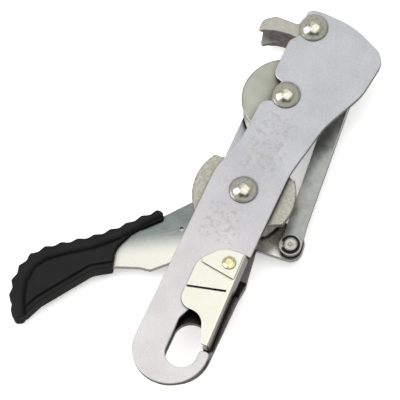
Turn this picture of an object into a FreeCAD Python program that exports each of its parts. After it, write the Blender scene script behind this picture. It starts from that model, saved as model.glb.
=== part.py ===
import FreeCAD, Part
import math
import os
import Sketcher
from FreeCAD import Placement, Rotation, Vector

# Lever-operated self-braking rope descender with a double stop.
# Frame: +Y runs along the plates towards the rope end, +X to the right and +Z out of the front
# plate. The origin is on the main axle, at the back faces of the nuts that the object lies on.

doc = FreeCAD.newDocument("descender")

# ---------------------------------------------------------------- driving dimensions (mm)
DIMENSIONS = {
    # stack of parts along Z
    "nut_height": 5.0,
    "plate_thickness": 3.0,
    "plate_gap": 22.0,
    "joggle_rise": 18.0,
    "head_gap": 0.3,
    "head_height": 5.3,
    "running_gap": 0.6,
    # axles
    "main_axle_radius": 5.0,
    "side_axle_radius": 4.5,
    "head_radius": 7.75,
    "nut_flats": 15.0,
    "axle_fit": 0.06,
    "neck_clearance": 0.3,
    "bobbin_axle_x": -1.0,
    "bobbin_axle_y": 60.0,
    "top_axle_x": -3.0,
    "top_axle_y": 102.0,
    # upper bobbin
    "bobbin_offset": 2.0,
    "bobbin_radius": 22.75,
    "bobbin_groove_radius": 17.2,
    "bobbin_thickness": 20.0,
    "locating_pin_radius": 2.0,
    "locating_pin_x": -13.0,
    "locating_pin_y": 56.0,
    # lever, cam and link
    "sheet_thickness": 3.0,
    "cam_radius": 28.2,
    "cam_thickness": 17.6,
    "cam_groove_radius": 18.5,
    "bush_wall": 2.0,
    "lower_pin_x": 32.5,
    "lower_pin_y": -13.8,
    "lower_pin_radius": 4.0,
    "upper_pin_x": 23.6,
    "upper_pin_y": 84.0,
    "upper_pin_radius": 2.6,
    "open_pivot_clearance": 0.5,
    "link_width": 9.6,
    "link_thickness": 3.8,
    "layer_gap": 0.3,
    # rocker
    "rocker_depth": 21.0,
    # grip
    "grip_thickness": 10.5,
    "scallop_depth": 1.5,
    # gate
    "gate_sheet": 1.0,
    "gate_fold_radius": 1.7,
    "gate_cover_sheet": 0.8,
    "gate_rivet_x": 10.5,
    "gate_rivet_y": -43.1,
    "gate_rivet_radius": 1.9,
    "gate_rivet_head": 3.65,
    "gate_spring_wire_radius": 0.5,
}

sheet = doc.addObject("Spreadsheet::Sheet", "dims")
for row, (alias, value) in enumerate(DIMENSIONS.items(), start=1):
    sheet.set(f"A{row}", alias)
    sheet.set(f"B{row}", str(value))
    sheet.setAlias(f"B{row}", alias)
doc.recompute()


def dim(alias):
    """Value of one driving dimension, read back from the sheet."""
    return float(sheet.get(alias))


# heights that several parts share, as sheet expressions and as numbers
REAR_PLATE_BACK = "dims.nut_height"
REAR_PLATE_FRONT = "dims.nut_height + dims.plate_thickness"
LEVER_BACK = REAR_PLATE_FRONT + " + dims.running_gap"
CAM_BACK = LEVER_BACK + " + dims.sheet_thickness"
CAM_FRONT = CAM_BACK + " + dims.cam_thickness"
LINK_BACK = CAM_BACK + " + dims.layer_gap"
LINK_FRONT = LINK_BACK + " + dims.link_thickness"
PLATE_BACK = REAR_PLATE_FRONT + " + dims.plate_gap"
PLATE_FRONT = PLATE_BACK + " + dims.plate_thickness"
HEAD_BACK = PLATE_FRONT + " + dims.head_gap"
JOGGLE_FRONT = REAR_PLATE_FRONT + " + dims.joggle_rise"
GATE_FRONT_FACE = PLATE_FRONT + " + dims.layer_gap + dims.gate_sheet"
GATE_COVER_FACE = GATE_FRONT_FACE + " + dims.gate_cover_sheet"
GATE_REAR_FLANGE = JOGGLE_FRONT + " + 0.5"


def value_of(expression):
    """Number that a sheet expression stands for."""
    for alias in sorted(DIMENSIONS, key=len, reverse=True):
        expression = expression.replace("dims." + alias, str(dim(alias)))
    return sum(float(term) for term in expression.replace("- ", "+ -").split("+"))


MAIN = (0.0, 0.0)
BOBBIN_AXLE = (dim("bobbin_axle_x"), dim("bobbin_axle_y"))
TOP_AXLE = (dim("top_axle_x"), dim("top_axle_y"))
LOWER_PIN = (dim("lower_pin_x"), dim("lower_pin_y"))
UPPER_PIN = (dim("upper_pin_x"), dim("upper_pin_y"))
GATE_PIVOT = (dim("gate_rivet_x"), dim("gate_rivet_y"))

sub_parts = []


# ---------------------------------------------------------------- sketch and feature helpers
def new_body(label, x=None, y=None, z=None):
    """A body whose placement is bound to sheet expressions."""
    body = doc.addObject("PartDesign::Body", label)
    body.Label = label
    for axis, expression in (("x", x), ("y", y), ("z", z)):
        if expression is not None:
            body.setExpression(".Placement.Base." + axis, expression)
    sub_parts.append(body)
    return body


def new_sketch(body, role="XY_Plane", at=None):
    """A sketch on one of the body's own origin planes, raised by an expression."""
    sketch = body.newObject("Sketcher::SketchObject", body.Label + "_sketch")
    plane = next(p for p in body.Origin.OriginFeatures if p.Role == role)
    sketch.AttachmentSupport = [(plane, "")]
    sketch.MapMode = "FlatFace"
    if at is not None:
        sketch.setExpression(".AttachmentOffset.Base.z", at)
    return sketch


def add_rounded(sketch, corners):
    """Close a polygon of (x, y, radius) corners, each turned by a tangent arc."""
    count = len(corners)
    arcs = []
    for i, (x, y, radius) in enumerate(corners):
        here = Vector(x, y, 0)
        before = Vector(*corners[i - 1][:2], 0) - here
        after = Vector(*corners[(i + 1) % count][:2], 0) - here
        before.normalize()
        after.normalize()
        half = before.getAngle(after) / 2
        if radius <= 0 or abs(half - math.pi / 2) < 1e-6:
            arcs.append((here, None, here))
            continue
        reach = radius / math.tan(half)
        bisector = (before + after).normalize()
        middle = here + bisector * (radius / math.sin(half) - radius)
        arcs.append((here + before * reach, middle, here + after * reach))
    for i, (start, middle, end) in enumerate(arcs):
        if middle is not None:
            sketch.addGeometry(Part.Arc(start, middle, end), False)
        next_start = arcs[(i + 1) % count][0]
        if (next_start - end).Length > 1e-6:
            sketch.addGeometry(Part.LineSegment(end, next_start), False)


def add_circle(sketch, x, y, radius):
    """A circle whose radius is bound to a sheet expression."""
    start = value_of(radius) if isinstance(radius, str) else radius
    index = sketch.addGeometry(Part.Circle(Vector(x, y, 0), Vector(0, 0, 1), start), False)
    constraint = sketch.addConstraint(Sketcher.Constraint("Radius", index, start))
    sketch.addConstraint(Sketcher.Constraint("Block", index))
    if isinstance(radius, str):
        sketch.delConstraint(constraint + 1)
        sketch.setExpression(f"Constraints[{constraint}]", radius)


def pad(body, sketch, length):
    """Raise a closed sketch by a sheet expression."""
    feature = body.newObject("PartDesign::Pad", body.Label + "_pad")
    feature.Profile = sketch
    feature.setExpression("Length", length)
    sketch.Visibility = False
    doc.recompute()
    return feature


def pocket(body, sketch, depth):
    """Cut a closed sketch downwards, checked by the volume it takes away."""
    before = body.Shape.Volume
    feature = body.newObject("PartDesign::Pocket", body.Label + "_pocket")
    feature.Profile = sketch
    feature.Length = depth
    doc.recompute()
    assert body.Shape.Volume < before - 1e-3, body.Label + " pocket cut nothing"
    return feature


def holes(body, circles, depth=60.0, at=None):
    """Round holes through a body, from (x, y, radius) circles."""
    sketch = new_sketch(body, at=at or "30")
    for x, y, radius in circles:
        add_circle(sketch, x, y, radius)
    return pocket(body, sketch, depth)


def revolve(body, profile):
    """Turn a (radius, z) polygon, with corner radii, about the body's own Z axis."""
    sketch = new_sketch(body, "XZ_Plane")
    add_rounded(sketch, [tuple(point) + (0.0,) * (3 - len(point)) for point in profile])
    feature = body.newObject("PartDesign::Revolution", body.Label + "_turned")
    feature.Profile = sketch
    feature.ReferenceAxis = (sketch, ["V_Axis"])
    feature.Angle = 360
    doc.recompute()
    return feature


def edges_at(feature, heights):
    """Names of the edges that lie flat at one of the given heights."""
    names = []
    for number, edge in enumerate(feature.Shape.Edges, start=1):
        box = edge.BoundBox
        if box.ZLength < 1e-4 and any(abs(box.ZMin - z) < 1e-4 for z in heights):
            names.append(f"Edge{number}")
    return names


def break_edges(body, heights, size, kind="Chamfer"):
    """Chamfer or fillet every flat edge at the given heights."""
    base = body.Tip
    feature = body.newObject("PartDesign::" + kind, body.Label + "_edges")
    feature.Base = (base, edges_at(base, heights))
    if kind == "Fillet":
        feature.Radius = size
    else:
        feature.Size = size
    doc.recompute()
    return feature


# ---------------------------------------------------------------- cheek plates
def make_rear_plate():
    """Fixed plate: flat at the back, joggled forwards between its bends to meet the eye."""
    body = new_body("rear_plate")
    thickness = dim("plate_thickness")
    back = value_of(REAR_PLATE_BACK)
    front = value_of(REAR_PLATE_FRONT)
    high = value_of(JOGGLE_FRONT)
    bend_y, bend_end_y = -41.0, -56.0
    slope = math.atan2(high - front, bend_y - bend_end_y)
    shift = thickness * math.tan(slope / 2)
    top_y, bottom_y = 130.0, -135.0
    inner, outer = 3.0, 3.0 + thickness
    side = new_sketch(body, "YZ_Plane", "-60")
    add_rounded(side, [
        (top_y, back, 0),
        (top_y, front, 0),
        (bend_y, front, inner),
        (bend_end_y, high, outer),
        (bottom_y, high, 0),
        (bottom_y, high - thickness, 0),
        (bend_end_y - shift, high - thickness, inner),
        (bend_y - shift, back, outer),
    ])
    pad(body, side, "120")
    trim = new_sketch(body, at="60")
    add_rounded(trim, [(-62, -137, 0), (62, -137, 0), (62, 132, 0), (-62, 132, 0)])
    add_rounded(trim, [
        (-18.0, -116.6, 19.7),
        (21.4, -116.6, 19.7),
        (21.4, -57.0, 6.0),
        (17.2, -38.0, 12.0),
        (13.4, -12.0, 30.0),
        (13.0, 60.0, 30.0),
        (10.0, 113.0, 11.0),
        (-15.5, 113.0, 11.0),
        (-15.5, 86.0, 14.0),
        (-23.0, 66.0, 14.0),
        (-23.0, 24.0, 16.0),
        (-18.3, 8.0, 16.0),
        (-18.3, -33.0, 5.0),
        (-6.5, -37.0, 4.0),
        (-6.5, -51.0, 5.0),
        (-18.0, -57.0, 5.0),
    ])
    pocket(body, trim, 80.0)
    # the trim keeps what the inner outline encloses; the ring around it is what goes
    holes(body, [
        MAIN + ("dims.main_axle_radius",),
        BOBBIN_AXLE + ("dims.side_axle_radius",),
        TOP_AXLE + ("dims.side_axle_radius",),
        (dim("locating_pin_x"), dim("locating_pin_y"), "dims.locating_pin_radius"),
    ])
    eye = new_sketch(body, at="60")
    add_rounded(eye, [(-2.4, -109, 9.15), (15.9, -109, 9.15), (15.9, -79.2, 9.15), (-2.4, -79.2, 9.15)])
    pocket(body, eye, 60.0)
    return body


def make_front_plate():
    """Swinging plate: flat, with two notches that slip over the necks of the axle heads."""
    body = new_body("front_plate", z=PLATE_BACK)
    thickness = dim("plate_thickness")
    neck = dim("side_axle_radius") + dim("neck_clearance")
    top_x, top_y = TOP_AXLE
    bobbin_x, bobbin_y = BOBBIN_AXLE
    outline = new_sketch(body)
    add_rounded(outline, [
        # round foot with the carabiner eye, open to the right above the hook
        (-20.3, -120.5, 20.8),
        (21.7, -120.5, 20.8),
        (21.7, -94.6, 2.5),
        (15.9, -94.6, 2.2),
        (15.9, -108.6, 8.7),
        (-1.7, -108.6, 8.7),
        (-2.2, -81.5, 5.0),
        (16.0, -40.6, 3.0),
        (16.0, -35.2, 0.6),
        (19.3, -35.2, 0.6),
        # right edge and broad top end
        (19.4, 18.0, 50.0),
        (25.5, 50.0, 45.0),
        (37.0, 75.0, 30.0),
        (40.2, 100.2, 10.5),
        (17.2, 111.2, 50.0),
        (-2.0, 112.6, 20.0),
        (-10.0, 111.6, 4.0),
        (-10.0, top_y + neck, 0.8),
        # notch over the top axle
        (top_x + neck, top_y + neck, neck),
        (top_x + neck, top_y - neck, neck),
        (-7.0, top_y - neck, 3.0),
        (-12.4, 90.4, 5.0),
        (-12.4, 68.6, 5.2),
        (-6.6, 66.6, 1.6),
        # notch over the bobbin axle
        (bobbin_x - 2.0, bobbin_y + neck, 2.0),
        (bobbin_x + neck, bobbin_y + neck, neck),
        (bobbin_x + neck, bobbin_y - neck, neck),
        (bobbin_x - 4.0, bobbin_y - neck - 0.4, 3.0),
        (-12.2, 52.6, 5.0),
        (-13.2, 28.0, 20.0),
        (-19.3, 6.0, 20.0),
    ])
    pad(body, outline, "dims.plate_thickness")
    break_edges(body, [0, thickness], 0.3)
    holes(body, [
        MAIN + ("dims.main_axle_radius + dims.axle_fit",),
        GATE_PIVOT + ("dims.gate_rivet_radius",),
    ])
    return body


# ---------------------------------------------------------------- axles, nuts and spacers
def make_axle(label, x, y, radius):
    """Bolt with a smooth domed head in front and a chamfered end at the nut."""
    body = new_body(label, x, y)
    shaft = value_of(radius)
    head = dim("head_radius")
    base = value_of(HEAD_BACK)
    top = base + dim("head_height")
    rim = 0.5
    cap = top - base - rim
    sphere = (head ** 2 + cap ** 2) / (2 * cap)
    sketch = new_sketch(body, "XZ_Plane")
    chamfer = 0.8
    points = [
        (0, 0),
        (shaft - chamfer, 0),
        (shaft, chamfer),
        (shaft, base),
        (head, base),
        (head, base + rim),
    ]
    for first, second in zip(points, points[1:]):
        sketch.addGeometry(Part.LineSegment(Vector(*first, 0), Vector(*second, 0)), False)
    half_angle = math.asin(head / sphere) / 2
    middle = Vector(sphere * math.sin(half_angle), top - sphere + sphere * math.cos(half_angle), 0)
    sketch.addGeometry(Part.Arc(Vector(head, base + rim, 0), middle, Vector(0, top, 0)), False)
    sketch.addGeometry(Part.LineSegment(Vector(0, top, 0), Vector(0, 0, 0)), False)
    feature = body.newObject("PartDesign::Revolution", label + "_turned")
    feature.Profile = sketch
    feature.ReferenceAxis = (sketch, ["V_Axis"])
    feature.Angle = 360
    doc.recompute()
    # centre mark of the lathe on the head
    mark = new_sketch(body, at=f"{top + 1}")
    add_circle(mark, 0, 0, 0.7)
    pocket(body, mark, 1.3)
    return body


def make_nut(label, x, y, radius):
    """Hexagonal nut behind the rear plate."""
    body = new_body(label, x, y)
    across = dim("nut_flats") / math.sqrt(3)
    sketch = new_sketch(body)
    corners = [math.radians(30 + 60 * i) for i in range(6)]
    add_rounded(sketch, [(across * math.cos(a), across * math.sin(a), 0.6) for a in corners])
    pad(body, sketch, "dims.nut_height")
    break_edges(body, [0], 0.5)
    holes(body, [(0, 0, radius)])
    return body


def make_ring(label, x, y, z, inner, outer, height):
    """Plain ring such as a washer, a bush or a spacer."""
    body = new_body(label, x, y, z)
    sketch = new_sketch(body)
    add_circle(sketch, 0, 0, outer)
    add_circle(sketch, 0, 0, inner)
    pad(body, sketch, height)
    return body


def make_axle_parts():
    """The three axle bolts with what is stacked on each of them."""
    axles = (
        ("main", None, None, "dims.main_axle_radius"),
        ("bobbin", "dims.bobbin_axle_x", "dims.bobbin_axle_y", "dims.side_axle_radius"),
        ("top", "dims.top_axle_x", "dims.top_axle_y", "dims.side_axle_radius"),
    )
    for name, x, y, radius in axles:
        make_axle(name + "_axle", x, y, radius)
        make_nut(name + "_nut", x, y, radius)
    make_ring("rear_cam_washer", None, None, REAR_PLATE_FRONT, "dims.main_axle_radius",
              "dims.main_axle_radius + 4.5", "dims.running_gap - 0.1")
    make_ring("front_cam_washer", None, None, CAM_FRONT + " + 0.12", "dims.main_axle_radius",
              "dims.main_axle_radius + 4.5", "0.5")
    make_ring("bobbin_washer", "dims.bobbin_axle_x", "dims.bobbin_axle_y",
              REAR_PLATE_FRONT + " + dims.bobbin_thickness", "dims.side_axle_radius",
              "dims.side_axle_radius + 3.5", "dims.plate_gap - dims.bobbin_thickness - 0.3")
    make_ring("rocker_washer", "dims.top_axle_x", "dims.top_axle_y", REAR_PLATE_FRONT,
              "dims.side_axle_radius", "dims.side_axle_radius + 4.0", "dims.running_gap - 0.1")


# ---------------------------------------------------------------- upper bobbin
def make_bobbin():
    """Fixed grooved bobbin, bolted through a bore that is off its centre."""
    body = new_body("upper_bobbin", "dims.bobbin_axle_x - dims.bobbin_offset",
                    "dims.bobbin_axle_y", REAR_PLATE_FRONT)
    outer = dim("bobbin_radius")
    root = dim("bobbin_groove_radius")
    height = dim("bobbin_thickness")
    rim = 2.2
    revolve(body, [
        (0, 0),
        (outer, 0, 0.6),
        (outer, rim, 0.5),
        (root, height * 0.34, 3.0),
        (root, height * 0.66, 3.0),
        (outer, height - rim, 0.5),
        (outer, height, 0.8),
        (0, height),
    ])
    pin_x = dim("locating_pin_x") - BOBBIN_AXLE[0] + dim("bobbin_offset")
    pin_y = dim("locating_pin_y") - BOBBIN_AXLE[1]
    holes(body, [(dim("bobbin_offset"), 0, "dims.side_axle_radius")])
    pin = new_sketch(body, at="9")
    add_circle(pin, pin_x, pin_y, "dims.locating_pin_radius")
    pocket(body, pin, 9.0)
    return body


def make_locating_pin():
    """Pin that keeps the bobbin from turning on the rear plate."""
    body = new_body("bobbin_locating_pin", "dims.locating_pin_x", "dims.locating_pin_y",
                    REAR_PLATE_BACK)
    sketch = new_sketch(body)
    add_circle(sketch, 0, 0, "dims.locating_pin_radius")
    pad(body, sketch, "dims.plate_thickness + 8.5")
    return body


# ---------------------------------------------------------------- lever body
RIVET_CIRCLE = 13.5
RIVET_ANGLES = (90, 210, 330)
CAM_RIVET_RADIUS = 2.5


def rivet_places():
    """Centres of the rivets that hold the cam to the lever plate."""
    return [
        (RIVET_CIRCLE * math.cos(math.radians(a)), RIVET_CIRCLE * math.sin(math.radians(a)))
        for a in RIVET_ANGLES
    ]


# tang of the lever plate inside the grip, shared by the plate and by the slot in the grip
TANG = [
    (-44.6, -29.4, 8.0),
    (-62.0, -47.0, 20.0),
    (-88.0, -69.5, 12.0),
    (-91.5, -93.0, 6.0),
    (-84.5, -96.0, 3.5),
    (-66.0, -68.0, 12.0),
    (-50.6, -59.2, 3.0),
]
TANG_ROOT = (-38.6, -54.9, 8.0)


def make_lever_plate():
    """Polished sheet plate from the grip, under the cam, to the arm that drives the link."""
    body = new_body("lever_plate", z=LEVER_BACK)
    thickness = dim("sheet_thickness")
    pin_x, pin_y = LOWER_PIN
    outline = new_sketch(body)
    add_rounded(outline, [
        (pin_x + 7.4, pin_y - 6.8, 6.4),
        (pin_x + 5.6, pin_y + 8.2, 7.0),
        (18.0, 1.0, 8.0),
        (15.0, 19.0, 14.0),
        (-12.0, 21.0, 14.0),
        (-19.5, 1.5, 6.0),
    ] + TANG + [
        TANG_ROOT,
        (-33.0, -54.3, 3.0),
        (-24.4, -46.0, 2.5),
        (-23.8, -38.0, 5.0),
        (-14.0, -24.0, 8.0),
        (17.0, -22.0, 14.0),
    ])
    pad(body, outline, "dims.sheet_thickness")
    break_edges(body, [0, thickness], 0.25)
    circles = [MAIN + ("dims.main_axle_radius + dims.axle_fit + dims.bush_wall",)]
    circles.append(LOWER_PIN + ("dims.lower_pin_radius",))
    circles.append((-26.8, -25.5, 1.3))
    circles += [place + (CAM_RIVET_RADIUS,) for place in rivet_places()]
    holes(body, circles)
    return body


def make_brake_cam():
    """Cast cam: a round front flange over a rope groove, cut flat on top and at its lower side."""
    body = new_body("brake_cam", z=CAM_BACK)
    height = dim("cam_thickness")
    radius = dim("cam_radius")
    root = dim("cam_groove_radius")
    rear_flange = 22.0
    revolve(body, [
        (0, 0),
        (rear_flange, 0, 0.8),
        (rear_flange, 2.4, 0.8),
        (root, 5.4, 2.5),
        (root, height - 6.0, 2.5),
        (radius, height - 3.4, 0.8),
        (radius, height, 0.9),
        (0, height),
    ])
    top_cut = new_sketch(body, at=f"{height + 1}")
    add_rounded(top_cut, [(-40, 40, 0), (-40, 15.2, 0), (-18, 14.8, 10), (-6, 22.5, 16),
                          (8, 23.5, 16), (21.5, 16.6, 1), (24, 17.5, 1), (40, 40, 0)])
    pocket(body, top_cut, height + 2)
    side_cut = new_sketch(body, at=f"{height + 1}")
    add_rounded(side_cut, [(-3, -40, 0), (40, -40, 0), (40, -7.5, 0), (27.0, -9.0, 1.5),
                           (15, -14.5, 12), (-5, -27.6, 6)])
    pocket(body, side_cut, height + 2)
    circles = [MAIN + ("dims.main_axle_radius + dims.axle_fit + dims.bush_wall",)]
    circles += [place + (CAM_RIVET_RADIUS,) for place in rivet_places()]
    holes(body, circles)
    return body


def make_cam_fastenings():
    """Bush in the cam and the rivets through cam and lever plate."""
    make_ring("cam_bush", None, None, LEVER_BACK, "dims.main_axle_radius + dims.axle_fit",
              "dims.main_axle_radius + dims.axle_fit + dims.bush_wall",
              "dims.sheet_thickness + dims.cam_thickness")
    for number, (x, y) in enumerate(rivet_places(), start=1):
        body = new_body(f"cam_rivet_{number}", f"{x}", f"{y}", LEVER_BACK)
        sketch = new_sketch(body)
        add_circle(sketch, 0, 0, CAM_RIVET_RADIUS)
        pad(body, sketch, "dims.sheet_thickness + dims.cam_thickness")


def scallop_corners(points, count, depth):
    """Corners of a wavy edge: crests on the line through the points, hollows below it."""
    lengths = [math.dist(a, b) for a, b in zip(points, points[1:])]
    total = sum(lengths)
    corners = []
    for step in range(2 * count + 1):
        along = total * step / (2 * count)
        segment = 0
        while segment < len(lengths) - 1 and along > lengths[segment]:
            along -= lengths[segment]
            segment += 1
        (ax, ay), (bx, by) = points[segment], points[segment + 1]
        ux, uy = (bx - ax) / lengths[segment], (by - ay) / lengths[segment]
        sink = depth if step % 2 else 0.0
        x = ax + ux * along - uy * sink
        y = ay + uy * along + ux * sink
        corners.append((x, y, 3.0 if step % 2 else 2.0))
    return corners


# line of the scalloped back of the grip, from the horn at the lever plate to the tail
GRIP_BACK = [
    (-43.2, -21.2),
    (-50.0, -28.0),
    (-59.0, -38.0),
    (-68.5, -46.8),
    (-79.0, -54.6),
    (-90.0, -62.4),
    (-96.6, -70.0),
    (-99.6, -79.5),
    (-99.9, -89.0),
    (-97.0, -98.5),
    (-92.8, -105.0),
]


def make_grip():
    """Rubber grip moulded over the tang, scalloped along its back."""
    body = new_body("handle_grip")
    middle = value_of(LEVER_BACK) + dim("sheet_thickness") / 2
    half = dim("grip_thickness") / 2
    sketch = new_sketch(body, at=f"{middle - half}")
    add_rounded(sketch, scallop_corners(GRIP_BACK, 12, dim("scallop_depth")) + [
        (-88.6, -108.6, 2.0),
        (-85.0, -106.6, 1.6),
        (-80.1, -94.4, 8.0),
        (-61.3, -67.2, 12.0),
        (-51.9, -61.4, 1.3),
        (-55.4, -50.0, 12.0),
        (-50.0, -37.5, 14.0),
        (-37.8, -24.4, 1.3),
        (-39.6, -21.4, 1.6),
    ])
    pad(body, sketch, "dims.grip_thickness")
    break_edges(body, [middle - half, middle + half], 1.2, "Fillet")
    slot = new_sketch(body, at=LEVER_BACK + " + dims.sheet_thickness")
    add_rounded(slot, [
        (-38.0, -19.0, 0),
        (-30.0, -32.0, 0),
        TANG_ROOT[:2] + (0,),
    ] + list(reversed(TANG[1:])))
    pocket(body, slot, dim("sheet_thickness"))
    return body


# ---------------------------------------------------------------- link and its pins
def make_link():
    """Flat bar from the lever arm to the rocker, in front of both."""
    body = new_body("link_bar", "dims.lower_pin_x", "dims.lower_pin_y", LINK_BACK)
    run_x = UPPER_PIN[0] - LOWER_PIN[0]
    run_y = UPPER_PIN[1] - LOWER_PIN[1]
    length = math.hypot(run_x, run_y)
    turn = math.degrees(math.atan2(run_y, run_x))
    body.Placement = Placement(Vector(*LOWER_PIN, value_of(LINK_BACK)),
                               Rotation(Vector(0, 0, 1), turn))
    half = dim("link_width") / 2
    eye = 5.6
    sketch = new_sketch(body)
    add_rounded(sketch, [
        (-eye, -eye, eye),
        (eye - 1.5, -eye, 6.0),
        (14.0, -half, 12.0),
        (length - 14.0, -half, 12.0),
        (length + half + 1.4, -half - 0.6, half),
        (length + half + 1.4, half + 1.2, half),
        (length - 14.0, half + 1.2, 12.0),
        (14.0, half + 0.8, 12.0),
        (eye - 1.5, eye, 6.0),
        (-eye, eye, eye),
    ])
    pad(body, sketch, "dims.link_thickness")
    break_edges(body, [0, dim("link_thickness")], 0.4)
    holes(body, [
        (0, 0, "dims.lower_pin_radius + dims.axle_fit"),
        (length, 0, "dims.upper_pin_radius + dims.open_pivot_clearance"),
    ])
    return body


def make_pin(label, x, y, z, radius, head, head_height, length, ring_z, ring_height):
    """Turned pin with a flat head at the back, a ring groove and a marked front end."""
    body = new_body(label, x, y, z)
    depth = 0.5
    revolve(body, [
        (0, -head_height),
        (head, -head_height, 0.3),
        (head, 0),
        (radius, 0),
        (radius, ring_z),
        (radius - depth, ring_z),
        (radius - depth, ring_z + ring_height),
        (radius, ring_z + ring_height),
        (radius, length, 0.25),
        (0, length),
    ])
    mark = new_sketch(body, at=f"{length + 1}")
    add_circle(mark, 0, 0, 1.1)
    pocket(body, mark, 1.3)
    return body


def make_snap_ring(label, x, y, z, inner, outer, height, gap_turn):
    """Open retaining ring in a pin's groove."""
    body = new_body(label, x, y, z)
    sketch = new_sketch(body)
    mouth = 25.0
    start, end = math.radians(gap_turn + mouth), math.radians(gap_turn - mouth + 360)
    middle = (start + end) / 2
    ends = {}
    for name, radius in (("inner", inner), ("outer", outer)):
        place = [Vector(radius * math.cos(a), radius * math.sin(a), 0) for a in (start, middle, end)]
        sketch.addGeometry(Part.Arc(*place), False)
        ends[name] = place
    for side in (0, 2):
        sketch.addGeometry(Part.LineSegment(ends["inner"][side], ends["outer"][side]), False)
    pad(body, sketch, f"{height}")
    return body


def make_link_pins():
    """Both link pins with their rings, and the washer under the lower ring."""
    sheet_thickness = dim("sheet_thickness")
    link_front = sheet_thickness + dim("layer_gap") + dim("link_thickness")
    washer = 0.5
    ring_height = 0.9
    ring_z = link_front + 0.1 + washer + 0.05
    lower = dim("lower_pin_radius")
    make_pin("lower_link_pin", "dims.lower_pin_x", "dims.lower_pin_y", LEVER_BACK,
             lower, 5.4, 1.6, ring_z + ring_height + 0.3, ring_z, ring_height)
    make_ring("lower_pin_washer", "dims.lower_pin_x", "dims.lower_pin_y", LINK_FRONT + " + 0.1",
              "dims.lower_pin_radius", "dims.lower_pin_radius + 2.1", f"{washer}")
    make_snap_ring("lower_pin_ring", "dims.lower_pin_x", "dims.lower_pin_y",
                   LEVER_BACK + f" + {ring_z}", lower - 0.5, lower + 1.2, ring_height, 200)
    upper = dim("upper_pin_radius")
    ring_z = link_front + 0.3
    make_pin("upper_link_pin", "dims.upper_pin_x", "dims.upper_pin_y", LEVER_BACK,
             upper, upper + 1.2, 0.5, ring_z + ring_height + 0.6, ring_z, ring_height)
    make_snap_ring("upper_pin_ring", "dims.upper_pin_x", "dims.upper_pin_y",
                   LEVER_BACK + f" + {ring_z}", upper - 0.5, upper + 1.5, ring_height, 90)


# ---------------------------------------------------------------- rocker
def make_rocker():
    """Brake jaw: a deep hook over the bobbin, a hub on the top axle and a thin arm behind."""
    body = new_body("rocker", z=LEVER_BACK)
    depth = dim("rocker_depth")
    arm = new_sketch(body)
    top_x, top_y = TOP_AXLE
    add_rounded(arm, [
        (top_x - 6.0, top_y - 10.0, 5.0),
        (UPPER_PIN[0] - 1.5, UPPER_PIN[1] - 7.0, 5.5),
        (UPPER_PIN[0] + 8.0, UPPER_PIN[1] - 5.0, 6.0),
        (UPPER_PIN[0] + 5.0, UPPER_PIN[1] + 8.5, 7.5),
        (top_x + 8.0, top_y + 9.0, 9.0),
        (top_x - 6.0, top_y + 9.0, 7.0),
    ])
    pad(body, arm, "dims.sheet_thickness")
    hook = new_sketch(body)
    add_rounded(hook, [
        (-31.4, 89.6, 1.2),
        (-28.6, 92.4, 3.0),
        (-22.5, 94.4, 10.0),
        (-14.0, 95.4, 8.0),
        (top_x + 9.2, top_y - 9.2, 8.0),
        (top_x + 9.2, top_y + 9.2, 9.0),
        (top_x - 7.0, top_y + 8.9, 7.8),
        (-12.2, 102.4, 2.4),
        (-25.5, 102.4, 5.0),
        (-31.4, 98.0, 4.0),
    ])
    pad(body, hook, "dims.rocker_depth")
    break_edges(body, [depth], 0.5, "Chamfer")
    # rope channel along the underside of the hook
    channel = new_sketch(body, "YZ_Plane", "-10")
    centre_z = depth / 2
    channel_radius = 11.0
    channel.addGeometry(Part.Circle(Vector(84.6, centre_z, 0), Vector(0, 0, 1), channel_radius), False)
    before = body.Shape.Volume
    feature = body.newObject("PartDesign::Pocket", "rocker_channel")
    feature.Profile = channel
    feature.Length = 24.0
    doc.recompute()
    assert body.Shape.Volume < before - 1e-3, "rocker channel cut nothing"
    holes(body, [
        TOP_AXLE + ("dims.side_axle_radius + dims.axle_fit + dims.bush_wall",),
        UPPER_PIN + ("dims.upper_pin_radius",),
    ])
    make_ring("rocker_bush", "dims.top_axle_x", "dims.top_axle_y", LEVER_BACK,
              "dims.side_axle_radius + dims.axle_fit",
              "dims.side_axle_radius + dims.axle_fit + dims.bush_wall", "dims.rocker_depth")
    return body


# ---------------------------------------------------------------- gate
GATE_TOP_Y = -35.6
GATE_TIP_Y = -91.7
WEB_TOP_X = 17.6
WEB_TIP_X = 19.5


def web_x(y):
    """Outer face of the gate's web at a height along the plate."""
    share = (GATE_TOP_Y - y) / (GATE_TOP_Y - GATE_TIP_Y)
    return WEB_TOP_X + (WEB_TIP_X - WEB_TOP_X) * share


def round_fold(body, height):
    """Bend radius along the gate's front fold, on the outside of the web."""
    base = body.Tip
    fold = []
    for name in edges_at(base, [height]):
        ends = base.Shape.getElement(name).Vertexes
        if all(abs(v.X - web_x(v.Y)) < 1e-3 for v in ends):
            fold.append(name)
    feature = body.newObject("PartDesign::Fillet", "gate_fold")
    feature.Base = (base, fold)
    feature.setExpression("Radius", "dims.gate_fold_radius")
    doc.recompute()
    return feature


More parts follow.
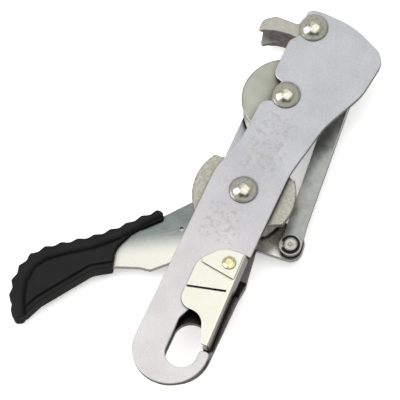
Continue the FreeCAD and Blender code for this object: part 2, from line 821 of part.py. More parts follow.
def make_gate():
    """Folded sheet gate: broad front flange, web along the plate's edge, narrow rear flange."""
    body = new_body("gate")
    sheet_size = dim("gate_sheet")
    front = value_of(GATE_FRONT_FACE)
    rear = value_of(GATE_REAR_FLANGE)
    web = new_sketch(body, at=GATE_REAR_FLANGE)
    add_rounded(web, [
        (WEB_TOP_X, GATE_TOP_Y, 0),
        (WEB_TOP_X - sheet_size, GATE_TOP_Y, 0),
        (WEB_TIP_X - sheet_size, GATE_TIP_Y, 0),
        (WEB_TIP_X, GATE_TIP_Y, 0),
    ])
    pad(body, web, f"{front - rear}")
    flange = new_sketch(body, at=GATE_FRONT_FACE + " - dims.gate_sheet")
    add_rounded(flange, [
        (WEB_TOP_X, GATE_TOP_Y, 0),
        (4.0, GATE_TOP_Y - 0.6, 12.0),
        (-6.0, GATE_TOP_Y - 12.0, 9.0),
        (-6.0, -75.0, 7.0),
        (8.6, -75.6, 9.0),
        (14.8, GATE_TIP_Y, 0.8),
        (WEB_TIP_X, GATE_TIP_Y, 0),
    ])
    pad(body, flange, "dims.gate_sheet")
    rear_flange = new_sketch(body, at=GATE_REAR_FLANGE)
    add_rounded(rear_flange, [
        (WEB_TOP_X, GATE_TOP_Y, 0),
        (5.6, GATE_TOP_Y - 0.8, 6.5),
        (5.0, -51.5, 6.5),
        (13.6, -66.0, 12.0),
        (15.2, GATE_TIP_Y, 0.8),
        (WEB_TIP_X, GATE_TIP_Y, 0),
    ])
    pad(body, rear_flange, "dims.gate_sheet")
    round_fold(body, front)
    slit = new_sketch(body, at=f"{front + 1}")
    add_rounded(slit, [(-8.0, -64.7, 0), (15.6, -59.2, 0.3), (15.3, -57.9, 0.3), (-8.0, -63.4, 0)])
    pocket(body, slit, 3.0)
    holes(body, [GATE_PIVOT + ("dims.gate_rivet_radius + 0.08",)], at="50")
    return body


def make_gate_cover():
    """Second layer of sheet over the gate's pivot."""
    body = new_body("gate_cover", z=GATE_FRONT_FACE)
    fold = dim("gate_fold_radius")
    sketch = new_sketch(body)
    add_rounded(sketch, [
        (WEB_TOP_X - fold, GATE_TOP_Y, 0.4),
        (4.0, GATE_TOP_Y - 0.6, 12.0),
        (-3.9, -45.5, 1.0),
        (-3.6, -47.6, 0.4),
        (web_x(-51.0) - fold, -51.0, 0.4),
    ])
    pad(body, sketch, "dims.gate_cover_sheet")
    holes(body, [GATE_PIVOT + ("dims.gate_rivet_radius + 0.08",)])
    return body


def make_gate_rivet():
    """Brass rivet that the gate turns on, held in the front plate."""
    body = new_body("gate_rivet", "dims.gate_rivet_x", "dims.gate_rivet_y")
    shaft = dim("gate_rivet_radius")
    head = dim("gate_rivet_head")
    front = value_of(GATE_COVER_FACE) + 0.1
    rear = value_of(GATE_REAR_FLANGE) - 0.1
    dome = 1.3
    revolve(body, [
        (0, rear - 0.9),
        (head - 0.4, rear - 0.9, 0.6),
        (head - 0.4, rear),
        (shaft, rear),
        (shaft, front),
        (head, front),
        (head, front + 0.5, 0.4),
        (head - 1.6, front + dome, 1.2),
        (0, front + dome),
    ])
    return body


def make_gate_spring():
    """Hairpin spring bent round the rivet, between the gate's rear flange and the front plate."""
    body = new_body("gate_spring", "dims.gate_rivet_x", "dims.gate_rivet_y",
                    GATE_REAR_FLANGE + " + dims.gate_sheet + 0.6")
    bend = 3.2
    leg = 6.5
    turn = math.radians(200)
    arc = [Vector(bend * math.cos(a), bend * math.sin(a), 0) for a in (0, turn / 2, turn)]
    along = Vector(-math.sin(turn), math.cos(turn), 0)
    spine = new_sketch(body)
    spine.addGeometry(Part.LineSegment(arc[0] - Vector(0, leg, 0), arc[0]), False)
    spine.addGeometry(Part.Arc(*arc), False)
    spine.addGeometry(Part.LineSegment(arc[2], arc[2] + along * leg), False)
    section = new_sketch(body, "XZ_Plane", f"{leg}")
    add_circle(section, bend, 0, "dims.gate_spring_wire_radius")
    wire = body.newObject("PartDesign::AdditivePipe", "gate_spring_wire")
    wire.Profile = section
    wire.Spine = (spine, ["Edge1", "Edge2", "Edge3"])
    doc.recompute()
    return body


# ---------------------------------------------------------------- build, check and export
make_rear_plate()
make_front_plate()
make_axle_parts()
make_bobbin()
make_locating_pin()
make_lever_plate()
make_brake_cam()
make_cam_fastenings()
make_grip()
make_link()
make_link_pins()
make_rocker()
make_gate()
make_gate_cover()
make_gate_rivet()
make_gate_spring()
doc.recompute()

failed = [o.Name for o in doc.Objects if {"Invalid", "Error"} & set(o.State)]
assert not failed, f"objects in error: {failed}"
for part in sub_parts:
    assert not part.Shape.isNull() and part.Shape.isValid(), part.Label + " has no valid shape"
    assert len(part.Shape.Solids) == 1, part.Label + " is not one solid"

os.makedirs("parts", exist_ok=True)
for part in sub_parts:
    part.Shape.exportStep(f"parts/{part.Label}.step")
    print(part.Label, round(part.Shape.Volume, 1))
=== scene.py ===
import math

import bpy
import numpy as np
from mathutils import Matrix, Vector


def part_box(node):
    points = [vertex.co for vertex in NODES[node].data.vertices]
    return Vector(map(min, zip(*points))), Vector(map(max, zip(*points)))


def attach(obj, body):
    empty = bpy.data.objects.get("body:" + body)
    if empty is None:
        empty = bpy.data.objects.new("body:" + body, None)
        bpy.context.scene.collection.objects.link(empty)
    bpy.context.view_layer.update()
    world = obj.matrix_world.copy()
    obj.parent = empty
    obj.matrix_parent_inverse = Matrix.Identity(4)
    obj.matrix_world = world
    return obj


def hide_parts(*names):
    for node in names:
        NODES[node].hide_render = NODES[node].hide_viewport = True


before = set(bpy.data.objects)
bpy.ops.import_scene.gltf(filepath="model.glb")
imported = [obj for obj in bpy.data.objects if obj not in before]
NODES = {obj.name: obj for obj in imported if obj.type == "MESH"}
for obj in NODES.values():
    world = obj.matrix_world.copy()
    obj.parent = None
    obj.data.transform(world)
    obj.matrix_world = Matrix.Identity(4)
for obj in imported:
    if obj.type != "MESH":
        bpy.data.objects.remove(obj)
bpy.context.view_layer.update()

# Looks of the self-braking rope descender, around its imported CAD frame. Metres, in the frame's own axes:
# +Y along the plates towards the rope end, +X towards the link bar, +Z out of the front plate.
MM = 0.001


def centre_of(node):
    """Middle of a CAD node's box."""
    low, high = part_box(node)
    return (low + high) / 2


MAIN_AXLE = centre_of("main_axle")
BOBBIN_AXLE = centre_of("bobbin_axle")
TOP_AXLE = centre_of("top_axle")
BOBBIN = centre_of("upper_bobbin")
RIVET = centre_of("gate_rivet")
PLATE_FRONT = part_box("front_plate")[1].z


# ---------------------------------------------------------------- camera
VIEW_AZIMUTH = 31.86
VIEW_ELEVATION = 66.0
VIEW_ROLL = -8.97
VIEW_DISTANCE = 8.0
FRAME_WIDTH = 215.7 * MM
SENSOR_WIDTH = 36.0


def view_rotation():
    """Camera axes, seen from the object's near side and from above, with a small roll."""
    turn = Matrix.Rotation(math.radians(VIEW_AZIMUTH), 4, "Z")
    tilt = Matrix.Rotation(math.radians(90 - VIEW_ELEVATION), 4, "X")
    roll = Matrix.Rotation(math.radians(VIEW_ROLL), 4, "Z")
    return turn @ tilt @ roll


VIEW_AXES = [view_rotation() @ Vector(axis) for axis in ((1, 0, 0), (0, 1, 0), (0, 0, 1))]
VIEW_TARGET = Vector((-19.42 * MM, -14.34 * MM, PLATE_FRONT))


def make_camera():
    """Long lens at the photograph's angle."""
    data = bpy.data.cameras.new("camera")
    data.sensor_width = SENSOR_WIDTH
    data.lens = SENSOR_WIDTH * VIEW_DISTANCE / FRAME_WIDTH
    data.clip_end = 30
    camera = bpy.data.objects.new("camera", data)
    bpy.context.scene.collection.objects.link(camera)
    camera.matrix_world = Matrix.Translation(VIEW_TARGET + VIEW_AXES[2] * VIEW_DISTANCE) @ view_rotation()
    bpy.context.scene.camera = camera


make_camera()


# ---------------------------------------------------------------- shader helpers
def new_material(name):
    """An empty node material with its Principled shader and its tree."""
    material = bpy.data.materials.new(name)
    material.use_nodes = True
    tree = material.node_tree
    shader = tree.nodes["Principled BSDF"]
    return material, tree, shader


def node(tree, kind, inputs=None, **settings):
    """Add a shader node; each input is a value or the socket that feeds it."""
    made = tree.nodes.new(kind)
    for name, value in settings.items():
        setattr(made, name, value)
    for name, value in (inputs or {}).items():
        socket = made.inputs[name]
        if isinstance(value, bpy.types.NodeSocket):
            tree.links.new(value, socket)
        else:
            socket.default_value = value
    return made


def remap(tree, value, low, high, out_low=0.0, out_high=1.0):
    """Smooth ramp of a socket from one range to another."""
    made = node(tree, "ShaderNodeMapRange", {"Value": value}, interpolation_type="SMOOTHSTEP")
    for name, number in (("From Min", low), ("From Max", high), ("To Min", out_low), ("To Max", out_high)):
        made.inputs[name].default_value = number
    return made.outputs["Result"]


def mix(tree, factor, first, second):
    """Colour mix of two colours or sockets."""
    made = tree.nodes.new("ShaderNodeMix")
    made.data_type = "RGBA"
    for index, value in ((0, factor), (6, first), (7, second)):
        if isinstance(value, bpy.types.NodeSocket):
            tree.links.new(value, made.inputs[index])
        elif index == 0:
            made.inputs[index].default_value = value
        else:
            made.inputs[index].default_value = (*value, 1.0)
    return made.outputs[2]


def combine(tree, operation, first, second):
    """Math of two sockets or numbers."""
    return node(tree, "ShaderNodeMath", {0: first, 1: second}, operation=operation).outputs[0]


def dot(tree, first, second):
    """Dot product of two vectors or sockets."""
    return node(tree, "ShaderNodeVectorMath", {0: first, 1: second}, operation="DOT_PRODUCT").outputs["Value"]


def place(tree, scale=(1, 1, 1), turn=0.0, origin=(0, 0, 0)):
    """Object coordinates, moved to an origin, turned about Z and stretched."""
    coordinates = tree.nodes.new("ShaderNodeTexCoord").outputs["Object"]
    moved = node(tree, "ShaderNodeVectorMath", {0: coordinates, 1: tuple(origin)}, operation="SUBTRACT")
    mapping = node(tree, "ShaderNodeMapping", {
        "Vector": moved.outputs[0],
        "Rotation": (0, 0, -math.radians(turn)),
    })
    inputs = {0: mapping.outputs[0], 1: tuple(scale)}
    return node(tree, "ShaderNodeVectorMath", inputs, operation="MULTIPLY").outputs[0]


def noise(tree, scale, detail=3.0, vector=None, roughness=0.5):
    """Noise value at a scale in repeats per metre."""
    inputs = {"Scale": scale, "Detail": detail, "Roughness": roughness}
    inputs["Vector"] = vector if vector is not None else place(tree)
    return node(tree, "ShaderNodeTexNoise", inputs).outputs["Fac"]


def grain(tree, turn, fineness=1800.0, stretch=0.04):
    """Brushed streaks along a direction in the plate's plane."""
    return noise(tree, fineness, 4.0, place(tree, (stretch, 1.0, stretch), turn), 0.65)


def along(tree, turn, start, end):
    """Ramp from 0 to 1 along a direction in the plate's plane, between two distances."""
    vector = place(tree, turn=turn)
    distance = node(tree, "ShaderNodeSeparateXYZ", {"Vector": vector}).outputs["X"]
    return remap(tree, distance, start, end)


def inside(tree, turn, start, end, blur):
    """1 between two distances along a direction, with soft ends."""
    opening = along(tree, turn, start - blur, start + blur)
    closing = along(tree, turn, end + blur, end - blur)
    return combine(tree, "MULTIPLY", opening, closing)


def rings(tree, centre, pitch):
    """Uneven lathe marks round an axis that runs along Z."""
    vector = place(tree, (1, 1, 0), origin=(centre.x, centre.y, 0))
    radius = node(tree, "ShaderNodeVectorMath", {0: vector}, operation="LENGTH").outputs["Value"]
    inputs = {"W": radius, "Scale": 1.0 / pitch, "Detail": 2.0}
    return node(tree, "ShaderNodeTexNoise", inputs, noise_dimensions="1D").outputs["Fac"]


def edge_mask(tree, radius):
    """1 at edges within the radius, 0 on open faces."""
    bevel = node(tree, "ShaderNodeBevel", {"Radius": radius}, samples=6).outputs[0]
    normal = tree.nodes.new("ShaderNodeNewGeometry").outputs["Normal"]
    return remap(tree, dot(tree, bevel, normal), 0.995, 0.9)


def facing_up(tree):
    """1 on faces that lie flat, 0 on upright walls, whatever way a piece turns about Z."""
    normal = tree.nodes.new("ShaderNodeNewGeometry").outputs["Normal"]
    z = node(tree, "ShaderNodeSeparateXYZ", {"Vector": normal}).outputs["Z"]
    return node(tree, "ShaderNodeMath", {0: z}, operation="ABSOLUTE").outputs[0]


def crevice_shade(tree, distance, low=0.35, high=0.85):
    """Painted shade mask: 0 where other faces close in within the distance, 1 on open faces."""
    shade = node(tree, "ShaderNodeAmbientOcclusion", {"Distance": distance}, samples=12).outputs["AO"]
    return remap(tree, shade, low, high)


def bump(tree, shader, *layers, soften=None):
    """Stack (height socket, depth in metres) layers, over edges softened by a radius in metres."""
    previous = None
    if soften is not None:
        previous = node(tree, "ShaderNodeBevel", {"Radius": soften}, samples=6).outputs[0]
    for height, depth in layers:
        inputs = {"Height": height, "Distance": depth, "Strength": 1.0}
        if previous is not None:
            inputs["Normal"] = previous
        previous = node(tree, "ShaderNodeBump", inputs).outputs["Normal"]
    tree.links.new(previous, shader.inputs["Normal"])


def metal(name):
    """A new material with a plain metal base."""
    material, tree, shader = new_material(name)
    shader.inputs["Metallic"].default_value = 1.0
    return material, tree, shader


# ---------------------------------------------------------------- materials
# open stretches of the front plate that wear first: (across, along) in millimetres
SCUFFED = [((-8.5, 13.0), (13.0, 50.0)), ((-14.0, 9.0), (-33.0, -11.0))]


def scuffs(tree):
    """Faint shapeless wear on the open stretches above and below the main axle."""
    worn = 0.0
    for across, length in SCUFFED:
        column = inside(tree, 0, across[0] * MM, across[1] * MM, 1 * MM)
        row = inside(tree, 90, length[0] * MM, length[1] * MM, 1 * MM)
        worn = combine(tree, "MAXIMUM", worn, combine(tree, "MULTIPLY", column, row))
    blotches = remap(tree, noise(tree, 330, 3, roughness=0.6), 0.50, 0.62, 0, 0.42)
    return combine(tree, "MULTIPLY", worn, blotches)


def plate_material(name, depth, open_from, bevel, scuffed=False):
    """Bead-blasted sheet: fine speckle, bevelled edges in a given painted tone, brown painted shade on the
    walls, a painted reflection that turns paler at the foot.

    Faces take painted shade where other parts stand closer than the depth, from the given share of open sky
    down."""
    material, tree, shader = metal(name)
    cloud = noise(tree, 45, 3)
    speckle = noise(tree, 1900, 4, roughness=0.7)
    streaks = grain(tree, 90, 1100, 0.1)
    flat = facing_up(tree)
    # painted reflection: the faces turn paler and warmer towards the foot
    foot = along(tree, 90, 40 * MM, -100 * MM)
    dark = mix(tree, foot, (0.55, 0.555, 0.605), (0.75, 0.71, 0.735))
    light = mix(tree, foot, (0.63, 0.635, 0.685), (0.85, 0.81, 0.83))
    face = mix(tree, remap(tree, cloud, 0.3, 0.7), dark, light)
    face = mix(tree, remap(tree, speckle, 0.3, 0.5, 0.22, 0), face, (0.36, 0.36, 0.42))
    face = mix(tree, remap(tree, speckle, 0.5, 0.72, 0, 0.45), face, (0.95, 0.95, 0.97))
    if scuffed:
        face = mix(tree, scuffs(tree), face, (0.46, 0.42, 0.37))
    # painted shade: the upright walls dark brown, uneven along their run
    tear = noise(tree, 900, 3, place(tree, (1, 1, 0.15)))
    wall_shade = mix(tree, remap(tree, tear, 0.3, 0.7), (0.12, 0.095, 0.09), (0.30, 0.26, 0.25))
    # bevels take the given painted tone
    colour = mix(tree, remap(tree, flat, 0.35, 0.6), wall_shade, bevel)
    colour = mix(tree, remap(tree, flat, 0.85, 0.98), colour, face)
    # painted shade where other parts close in
    colour = mix(tree, crevice_shade(tree, depth, open_from, 0.9), (0.02, 0.017, 0.016), colour)
    tree.links.new(colour, shader.inputs["Base Color"])
    tree.links.new(remap(tree, streaks, 0.3, 0.8, 0.34, 0.44), shader.inputs["Roughness"])
    bump(tree, shader, (streaks, 0.003 * MM), (speckle, 0.008 * MM))
    return material


def dome_material(name, centre, dark=(0.64, 0.635, 0.55), light=(0.80, 0.79, 0.69)):
    """Polished turned steel with faint lathe rings round its own axis."""
    material, tree, shader = metal(name)
    turning = rings(tree, centre, 0.25 * MM)
    spots = noise(tree, 700, 4)
    colour = mix(tree, remap(tree, spots, 0.35, 0.7), dark, light)
    # painted shade: a thin dark ring where the head meets neighbouring parts
    colour = mix(tree, crevice_shade(tree, 0.6 * MM, 0.3, 0.7), (0.03, 0.03, 0.025), colour)
    tree.links.new(colour, shader.inputs["Base Color"])
    tree.links.new(remap(tree, turning, 0.3, 0.7, 0.17, 0.25), shader.inputs["Roughness"])
    bump(tree, shader, (turning, 0.003 * MM), (spots, 0.006 * MM), soften=1.5 * MM)
    return material


def bobbin_material():
    """Turned alloy: concentric marks on the faces, bright edges that are part wear and part painted
    highlight, painted shade near the plates.
    """
    material, tree, shader = metal("turned_bobbin")
    turning = rings(tree, BOBBIN, 0.3 * MM)
    cloud = noise(tree, 70, 3)
    colour = mix(tree, remap(tree, cloud, 0.3, 0.7), (0.46, 0.465, 0.41), (0.56, 0.565, 0.51))
    # bright edges: part wear, part painted highlight
    colour = mix(tree, edge_mask(tree, 0.5 * MM), colour, (0.86, 0.86, 0.80))
    # painted shade where the plates close in
    colour = mix(tree, crevice_shade(tree, 11 * MM, 0.3, 0.98), (0.10, 0.10, 0.085), colour)
    tree.links.new(colour, shader.inputs["Base Color"])
    tree.links.new(remap(tree, turning, 0.3, 0.7, 0.3, 0.42), shader.inputs["Roughness"])
    bump(tree, shader, (turning, 0.008 * MM), (noise(tree, 1800, 2), 0.004 * MM))
    return material


def sheet_material(name, dark, light, rough, wall_shade, edge, depth):
    """Rolled sheet: weak grain along the object, walls and bevels in given tones of painted light and shade,
    painted shade in the corners.
    """
    material, tree, shader = metal(name)
    streaks = grain(tree, 95, 1300, 0.08)
    cloud = noise(tree, 110, 4)
    flat = facing_up(tree)
    face = mix(tree, remap(tree, cloud, 0.3, 0.7), dark, light)
    bright = tuple(min(1.0, channel * 1.15) for channel in light)
    face = mix(tree, remap(tree, streaks, 0.5, 0.8, 0, 0.25), face, bright)
    # painted shade on the upright walls, the given painted tone on the bevels
    colour = mix(tree, remap(tree, flat, 0.2, 0.5), wall_shade, edge)
    colour = mix(tree, remap(tree, flat, 0.9, 0.985), colour, face)
    # painted shade where other parts close in
    colour = mix(tree, crevice_shade(tree, depth, 0.45, 0.95), (0.03, 0.03, 0.025), colour)
    tree.links.new(colour, shader.inputs["Base Color"])
    tree.links.new(remap(tree, cloud, 0.3, 0.8, *rough), shader.inputs["Roughness"])
    bump(tree, shader, (streaks, 0.003 * MM), (noise(tree, 1500, 2), 0.003 * MM))
    return material


def lever_material():
    """Tumbled spring steel, with painted shade and reflection, darker and bluer, along the edge that faces
    the rope.
    """
    material, tree, shader = metal("tumbled_lever")
    streaks = grain(tree, 35, 900, 0.12)
    cloud = noise(tree, 90, 4)
    # painted shade and dark reflection: the bluish upper tone fills the rope edge and the arm's left part,
    # the pale lower tone the rest
    upper = mix(tree, remap(tree, cloud, 0.3, 0.7), (0.19, 0.21, 0.21), (0.29, 0.32, 0.325))
    lower = mix(tree, remap(tree, cloud, 0.3, 0.7), (0.80, 0.81, 0.75), (0.90, 0.90, 0.84))
    shade = along(tree, 118, -24 * MM, -9 * MM)
    arm = along(tree, 0, -12 * MM, 8 * MM)
    face = mix(tree, shade, lower, mix(tree, arm, upper, lower))
    face = mix(tree, remap(tree, streaks, 0.5, 0.8, 0, 0.2), face, (0.95, 0.97, 0.97))
    colour = mix(tree, remap(tree, facing_up(tree), 0.4, 0.8), (0.50, 0.49, 0.46), face)
    # bright edges: part wear, part painted highlight
    colour = mix(tree, edge_mask(tree, 0.3 * MM), colour, (0.92, 0.92, 0.88))
    # painted shade where other parts close in
    colour = mix(tree, crevice_shade(tree, 7 * MM, 0.5, 0.9), (0.02, 0.02, 0.018), colour)
    tree.links.new(colour, shader.inputs["Base Color"])
    tree.links.new(remap(tree, cloud, 0.3, 0.8, 0.22, 0.34), shader.inputs["Roughness"])
    bump(tree, shader, (streaks, 0.003 * MM), (noise(tree, 1500, 2), 0.004 * MM))
    return material


def cast_material(name, dark, light, shine, mottle, depth):
    """Cast or forged steel: mottling and pits, brown painted shade on the sides, bright edges that are part
    wear and part painted highlight, near-black painted shade in the recesses.
    """
    material, tree, shader = new_material(name)
    shader.inputs["Metallic"].default_value = 0.85
    patches = noise(tree, mottle, 5, roughness=0.65)
    pits = noise(tree, 1700, 3)
    colour = mix(tree, remap(tree, patches, 0.35, 0.65), dark, light)
    colour = mix(tree, remap(tree, pits, 0.5, 0.75, 0, 0.35), colour, shine)
    # painted shade: the upright sides darker and browner than the faces
    side = mix(tree, remap(tree, patches, 0.35, 0.65), (0.16, 0.13, 0.13), (0.30, 0.255, 0.255))
    colour = mix(tree, remap(tree, facing_up(tree), 0.3, 0.75), side, colour)
    # bright edges: part wear, part painted highlight
    colour = mix(tree, edge_mask(tree, 0.6 * MM), colour, shine)
    # painted shade where other parts close in
    colour = mix(tree, crevice_shade(tree, depth, 0.3, 0.85), (0.015, 0.013, 0.011), colour)
    tree.links.new(colour, shader.inputs["Base Color"])
    tree.links.new(remap(tree, patches, 0.3, 0.7, 0.36, 0.54), shader.inputs["Roughness"])
    bump(tree, shader, (patches, 0.06 * MM), (pits, 0.02 * MM), soften=0.8 * MM)
    return material


def brass_material(name, bright, dark):
    """Turned brass, patchily tarnished, with painted shade towards its foot."""
    material, tree, shader = metal(name)
    turning = rings(tree, RIVET, 0.2 * MM)
    tarnish = noise(tree, 900, 4)
    colour = mix(tree, remap(tree, tarnish, 0.35, 0.7), bright, dark)
    # painted shade: darker brown where the head meets the plate
    colour = mix(tree, crevice_shade(tree, 1.5 * MM), (0.10, 0.07, 0.03), colour)
    tree.links.new(colour, shader.inputs["Base Color"])
    tree.links.new(remap(tree, turning, 0.3, 0.7, 0.24, 0.36), shader.inputs["Roughness"])
    bump(tree, shader, (turning, 0.005 * MM), (tarnish, 0.006 * MM))
    return material


def fastener_material():
    """Zinc-plated steel of nuts, washers and rivets."""
    material, tree, shader = metal("plated_fastener")
    spots = noise(tree, 900, 4)
    colour = mix(tree, remap(tree, spots, 0.35, 0.7), (0.46, 0.46, 0.44), (0.62, 0.62, 0.60))
    # bright edges: part wear, part painted highlight
    colour = mix(tree, edge_mask(tree, 0.3 * MM), colour, (0.85, 0.85, 0.84))
    # painted shade where other parts close in
    colour = mix(tree, crevice_shade(tree, 2 * MM), (0.04, 0.04, 0.04), colour)
    tree.links.new(colour, shader.inputs["Base Color"])
    tree.links.new(remap(tree, spots, 0.3, 0.7, 0.28, 0.42), shader.inputs["Roughness"])
    bump(tree, shader, (spots, 0.012 * MM), (noise(tree, 3000, 2), 0.003 * MM))
    return material


def wire_material():
    """Hard-drawn spring wire and retaining rings, near black."""
    material, tree, shader = metal("spring_wire")
    spots = noise(tree, 1400, 3)
    colour = mix(tree, remap(tree, spots, 0.3, 0.7), (0.010, 0.010, 0.010), (0.035, 0.035, 0.035))
    tree.links.new(colour, shader.inputs["Base Color"])
    tree.links.new(remap(tree, spots, 0.3, 0.7, 0.35, 0.5), shader.inputs["Roughness"])
    bump(tree, shader, (spots, 0.008 * MM))
    return material


def rubber_material():
    """Moulded black rubber: fine spark-eroded texture, smeared unevenly in tone and shine."""
    material, tree, shader = new_material("grip_rubber")
    skin = noise(tree, 2600, 3)
    smear = noise(tree, 90, 4)
    colour = mix(tree, remap(tree, smear, 0.3, 0.7), (0.0045, 0.005, 0.005), (0.0085, 0.009, 0.009))
    # painted shade in the grooves and where parts close in
    colour = mix(tree, crevice_shade(tree, 1.6 * MM, 0.6, 0.97), (0.0004, 0.0004, 0.0004), colour)
    tree.links.new(colour, shader.inputs["Base Color"])
    tree.links.new(remap(tree, smear, 0.3, 0.7, 0.55, 0.68), shader.inputs["Roughness"])
    shader.inputs["Specular IOR Level"].default_value = 0.25
    bump(tree, shader, (skin, 0.02 * MM))
    return material


FASTENER = fastener_material()
# wall and edge tones are painted light and shade: darker walls and bevels on the gate, a painted highlight on
# the link's bevels
GATE = sheet_material("nickel_gate", dark=(0.86, 0.865, 0.76), light=(0.95, 0.95, 0.86), rough=(0.3, 0.4),
                      wall_shade=(0.50, 0.49, 0.44), edge=(0.62, 0.61, 0.56), depth=2.2 * MM)
LINK = sheet_material("blasted_link", dark=(0.34, 0.35, 0.335), light=(0.58, 0.60, 0.58), rough=(0.34, 0.48),
                      wall_shade=(0.42, 0.43, 0.40), edge=(0.86, 0.87, 0.84), depth=6 * MM)
WIRE = wire_material()
BUSH = brass_material("bearing_bronze", bright=(0.62, 0.50, 0.26), dark=(0.45, 0.35, 0.18))

LOOKS = {
    # front plate: bevels painted bright as a highlight; rear plate: bevels painted near black and faces
    # darkened deep between the plates, both painted shade
    "front_plate": plate_material("front_satin", depth=2.8 * MM, open_from=0.35, bevel=(0.92, 0.92, 0.90),
                                  scuffed=True),
    "rear_plate": plate_material("rear_satin", depth=14 * MM, open_from=0.66, bevel=(0.05, 0.045, 0.045)),
    "main_axle": dome_material("main_dome", MAIN_AXLE),
    "bobbin_axle": dome_material("bobbin_dome", BOBBIN_AXLE),
    "top_axle": dome_material("top_dome", TOP_AXLE),
    "upper_bobbin": bobbin_material(),
    "lever_plate": lever_material(),
    "brake_cam": cast_material("cast_cam", dark=(0.38, 0.375, 0.325), light=(0.58, 0.58, 0.51),
                               shine=(0.78, 0.78, 0.70), mottle=800, depth=9 * MM),
    "cam_bush": BUSH,
    "rocker_bush": BUSH,
    "link_bar": LINK,
    "lower_link_pin": dome_material("lower_pin", centre_of("lower_link_pin"),
                                    dark=(0.42, 0.42, 0.38), light=(0.56, 0.56, 0.51)),
    "upper_link_pin": dome_material("upper_pin", centre_of("upper_link_pin")),
    "rocker": cast_material("forged_jaw", dark=(0.46, 0.46, 0.415), light=(0.54, 0.54, 0.49),
                            shine=(0.66, 0.66, 0.60), mottle=300, depth=4 * MM),
    "gate": GATE,
    "gate_cover": GATE,
    "gate_rivet": brass_material("rivet_brass", bright=(0.98, 0.92, 0.62), dark=(0.82, 0.70, 0.38)),
    "gate_spring": WIRE,
    "lower_pin_ring": WIRE,
    "upper_pin_ring": WIRE,
}


def dress(item, material):
    """Give every slot of an object one material."""
    if not item.material_slots:
        item.data.materials.append(material)
    for each in item.material_slots:
        each.material = material


for name, item in NODES.items():
    dress(item, LOOKS.get(name, FASTENER))


# ---------------------------------------------------------------- moulded grip
# in the plate's plane, in millimetres: the ridge beside the scalloped band and the lower edge
GRIP_RIDGE = [(-36.0, -21.0), (-40.5, -24.6), (-45.9, -30.8), (-50.1, -37.2), (-56.2, -44.6), (-66.1, -54.2),
              (-78.8, -63.1), (-87.2, -69.9), (-91.5, -77.1), (-92.2, -86.3), (-89.6, -95.4), (-84.8, -104.6),
              (-82.0, -109.0)]
GRIP_LOWER_EDGE = [(-88.0, -110.5), (-85.0, -105.6), (-80.1, -94.4), (-61.3, -67.2), (-51.9, -61.4)]
GRIP_BAND_MIDDLE = 3.2
GRIP_GROOVE_DEPTH = 1.5
GRIP_RIM_WIDTH = 3.1
GRIP_RIM_GROOVE_DEPTH = 1.2
GRIP_CORE = 1.9 * MM
GRIP_VOXEL = 0.4 * MM


def remeshed(name, voxel):
    """Evenly meshed copy of a CAD node, ready for sculpting."""
    copy = bpy.data.objects.new(name + "_moulded", NODES[name].data.copy())
    bpy.context.scene.collection.objects.link(copy)
    even = copy.modifiers.new("even", "REMESH")
    even.mode = "VOXEL"
    even.voxel_size = voxel
    graph = bpy.context.evaluated_depsgraph_get()
    mesh = bpy.data.meshes.new_from_object(copy.evaluated_get(graph))
    copy.modifiers.clear()
    copy.data = mesh
    return copy


def signed_distance(points, line):
    """Distance of points to a polyline in the plane, positive on its left side."""
    best = np.full(len(points), 1e9)
    side = np.ones(len(points))
    for start, end in zip(np.array(line[:-1]), np.array(line[1:])):
        run = end - start
        share = np.clip(((points - start) @ run) / (run @ run), 0, 1)
        offset = points - start - share[:, None] * run
        distance = np.hypot(*offset.T)
        nearer = distance < best - 1e-9
        cross = run[0] * (points - start)[:, 1] - run[1] * (points - start)[:, 0]
        side[nearer] = np.sign(cross[nearer])
        best[nearer] = distance[nearer]
    return best * side


def smooth(value, low, high):
    """Smooth step from 0 to 1 over a range."""
    share = np.clip((value - low) / (high - low), 0, 1)
    return share * share * (3 - 2 * share)


def grip_relief(points):
    """How far the moulding lies under the grip's flat faces, in millimetres."""
    inner = signed_distance(points, GRIP_RIDGE)
    rim_distance = np.abs(signed_distance(points, GRIP_LOWER_EDGE))
    band = 0.8 * smooth(np.abs(inner + GRIP_BAND_MIDDLE), 1.0, 3.4)
    groove = GRIP_GROOVE_DEPTH * np.exp(-((inner - 0.5) / 0.6) ** 2)
    panel = 0.9 * smooth(inner, 0.1, 0.9)
    rim = 0.75 * (1 - smooth(rim_distance, 2.0, 2.8)) * smooth(inner, 0.1, 1.2)
    line = np.exp(-((rim_distance - GRIP_RIM_WIDTH) / 0.55) ** 2)
    rim_groove = GRIP_RIM_GROOVE_DEPTH * line * smooth(inner, 0.4, 1.4)
    return groove + np.where(inner < 0, band, panel - rim + rim_groove)


def make_grip():
    """Rubber grip: scalloped band along its back, ridge, inset panel and thin lower rim."""
    grip = remeshed("handle_grip", GRIP_VOXEL)
    mesh = grip.data
    points = np.zeros(len(mesh.vertices) * 3)
    mesh.vertices.foreach_get("co", points)
    points = points.reshape(-1, 3)
    low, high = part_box("handle_grip")
    middle = (low.z + high.z) / 2
    skin = (high.z - low.z) / 2 - GRIP_CORE
    height = points[:, 2] - middle
    share = np.clip((np.abs(height) - GRIP_CORE) / skin, 0, 1)
    points[:, 2] -= np.sign(height) * share * grip_relief(points[:, :2] / MM) * MM
    mesh.vertices.foreach_set("co", points.ravel())
    mesh.polygons.foreach_set("use_smooth", [True] * len(mesh.polygons))
    mesh.update()
    dress(grip, rubber_material())
    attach(grip, "lever")
    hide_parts("handle_grip")


make_grip()


# ---------------------------------------------------------------- studio
FLOOR_SIZE = 12.0


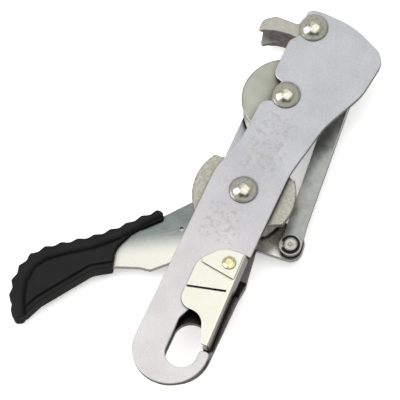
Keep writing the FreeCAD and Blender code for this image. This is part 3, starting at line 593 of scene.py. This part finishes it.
def make_floor():
    """Pale light table that the object lies on."""
    half = FLOOR_SIZE / 2
    mesh = bpy.data.meshes.new("floor")
    corners = [(-half, -half, 0), (half, -half, 0), (half, half, 0), (-half, half, 0)]
    mesh.from_pydata(corners, [], [(0, 1, 2, 3)])
    floor = bpy.data.objects.new("floor", mesh)
    bpy.context.scene.collection.objects.link(floor)
    floor.visible_glossy = False
    material, tree, shader = new_material("paper_floor")
    fibre = noise(tree, 60, 3)
    tree.links.new(mix(tree, fibre, (0.91, 0.91, 0.91), (0.93, 0.93, 0.93)), shader.inputs["Base Color"])
    shader.inputs["Roughness"].default_value = 0.9
    shader.inputs["Emission Color"].default_value = (1, 1, 1, 1)
    shader.inputs["Emission Strength"].default_value = 0.38
    mesh.materials.append(material)


def add_softbox(name, direction, distance, width, height, power, mirrored=True):
    """Area light that faces the object from a direction given along the camera's axes."""
    data = bpy.data.lights.new(name, "AREA")
    data.shape = "RECTANGLE"
    data.size = width
    data.size_y = height
    data.energy = power
    light = bpy.data.objects.new(name, data)
    bpy.context.scene.collection.objects.link(light)
    back = sum((axis * part for axis, part in zip(VIEW_AXES, direction)), Vector()).normalized()
    rotation = back.to_track_quat("Z", "Y").to_matrix().to_4x4()
    light.matrix_world = Matrix.Translation(VIEW_TARGET + back * distance) @ rotation
    light.visible_camera = False
    light.visible_glossy = mirrored


def make_world():
    """Olive-grey studio: lighter beyond the softbox, with one dark flag on the near side."""
    world = bpy.data.worlds.new("studio")
    bpy.context.scene.world = world
    world.use_nodes = True
    tree = world.node_tree
    direction = tree.nodes.new("ShaderNodeTexCoord").outputs["Generated"]
    side = dot(tree, direction, tuple(VIEW_AXES[0]))
    side = node(tree, "ShaderNodeMath", {0: side}, operation="ABSOLUTE").outputs[0]
    up = dot(tree, direction, tuple(VIEW_AXES[1]))
    beyond_flag = combine(tree, "MAXIMUM", remap(tree, up, -0.25, 0.0), remap(tree, side, 0.45, 0.65))
    beyond_flag = combine(tree, "MAXIMUM", beyond_flag, remap(tree, up, -0.48, -0.64))
    colour = mix(tree, beyond_flag, (0.04, 0.039, 0.037), (0.40, 0.40, 0.37))
    colour = mix(tree, remap(tree, up, 0.6, 0.8), colour, (0.52, 0.52, 0.48))
    height = node(tree, "ShaderNodeSeparateXYZ", {"Vector": direction}).outputs["Z"]
    colour = mix(tree, remap(tree, height, 0.2, 0.5), (0.52, 0.51, 0.50), colour)
    tree.links.new(colour, tree.nodes["Background"].inputs["Color"])


make_floor()
make_world()
add_softbox("overhead_softbox", (0.10, 0.32, 0.94), distance=2.0, width=2.5, height=2.1, power=16)
add_softbox("side_window", (-0.82, 0.12, 0.55), distance=2.0, width=1.1, height=1.5, power=15)
add_softbox("floor_fill", (0.0, 0.41, 0.91), distance=2.4, width=3.0, height=3.0, power=40, mirrored=False)
bpy.context.scene.view_settings.view_transform = "Standard"
